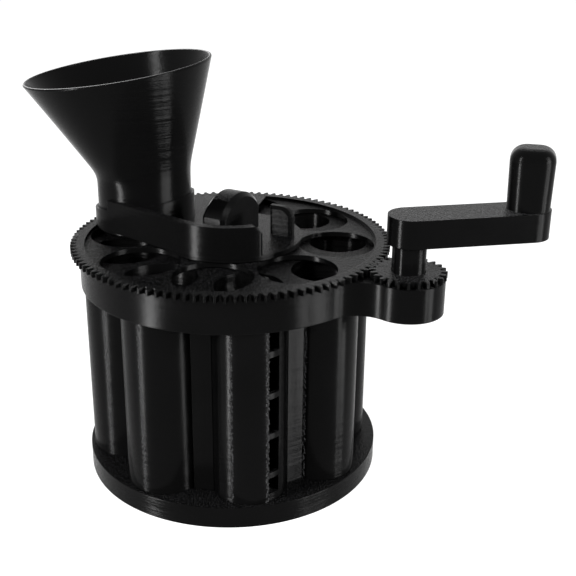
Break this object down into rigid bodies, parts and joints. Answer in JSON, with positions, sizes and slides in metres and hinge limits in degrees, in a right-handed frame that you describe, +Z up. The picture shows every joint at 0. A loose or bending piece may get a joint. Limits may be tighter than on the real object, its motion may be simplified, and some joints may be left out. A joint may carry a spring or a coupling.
{
  "type": "coin sorter",
  "caption": "Hand-cranked rotary coin sorter: a funnel feeds a toothed pocket disc that drops each coin size into its own upright tube in a round stand.",
  "frame": {"origin": "where the main axis meets the surface the base stands on", "axes": "+Z up along the main axis, -Y towards the front, +X towards the crank"},
  "size_m": [0.1799, 0.1161, 0.1474],
  "materials": {
    "black_print": "satin printed layers",
    "steel": "zinc plated",
    "brass": "knurled",
    "bearing_plastic": "smooth"
  },
  "bodies": {
    "stand": {"base_disc": "black_print", "centre_column": "black_print", "tube_core": "black_print", "ring_housing": "black_print", "sorting_plate": "black_print", "rotor_bush": "bearing_plastic", "cover_plate": "black_print", "hopper_arm": "black_print", "spindle_bolt": "steel", "bolt_washer": "steel", "shaft_sleeve": "bearing_plastic", "coin_tube_1": "black_print", "coin_tube_2": "black_print", "coin_tube_3": "black_print", "coin_tube_4": "black_print", "coin_tube_5": "black_print", "coin_tube_6": "black_print", "coin_tube_7": "black_print"},
    "rotor": {"rotor_disc": "black_print"},
    "crank": {"drive_pinion": "black_print", "crank_shaft": "black_print", "shaft_retainer": "black_print", "crank_arm": "black_print", "grip_pin": "steel"},
    "grip": {"crank_grip": "black_print"},
    "knob": {"clamp_knob": "black_print", "knob_insert": "brass"},
    "funnel": {"funnel": "black_print"}
  },
  "joints": [
    {"name": "rotor_spin", "type": "hinge", "parent": "stand", "child": "rotor", "pos_m": [0, 0, 0.085], "axis": [0, 0, 1], "continuous": true},
    {"name": "crank_spin", "type": "hinge", "parent": "stand", "child": "crank", "pos_m": [0.05825, -0.03528, 0.085], "axis": [0, 0, 1], "continuous": true},
    {"name": "grip_spin", "type": "hinge", "parent": "crank", "child": "grip", "pos_m": [0.09815, -0.0296, 0.115], "axis": [0, 0, 1], "continuous": true},
    {"name": "knob_turn", "type": "hinge", "parent": "stand", "child": "knob", "pos_m": [0, 0, 0.09], "axis": [0, 0, 1], "range_deg": [0, 90]},
    {"name": "funnel_lift", "type": "slide", "parent": "stand", "child": "funnel", "axis": [0, 0, 1], "range_m": [0, 0.008]}
  ],
  "couplings": [
    {"joint": "crank_spin", "follows": "rotor_spin", "ratio": -4.6667}
  ]
}
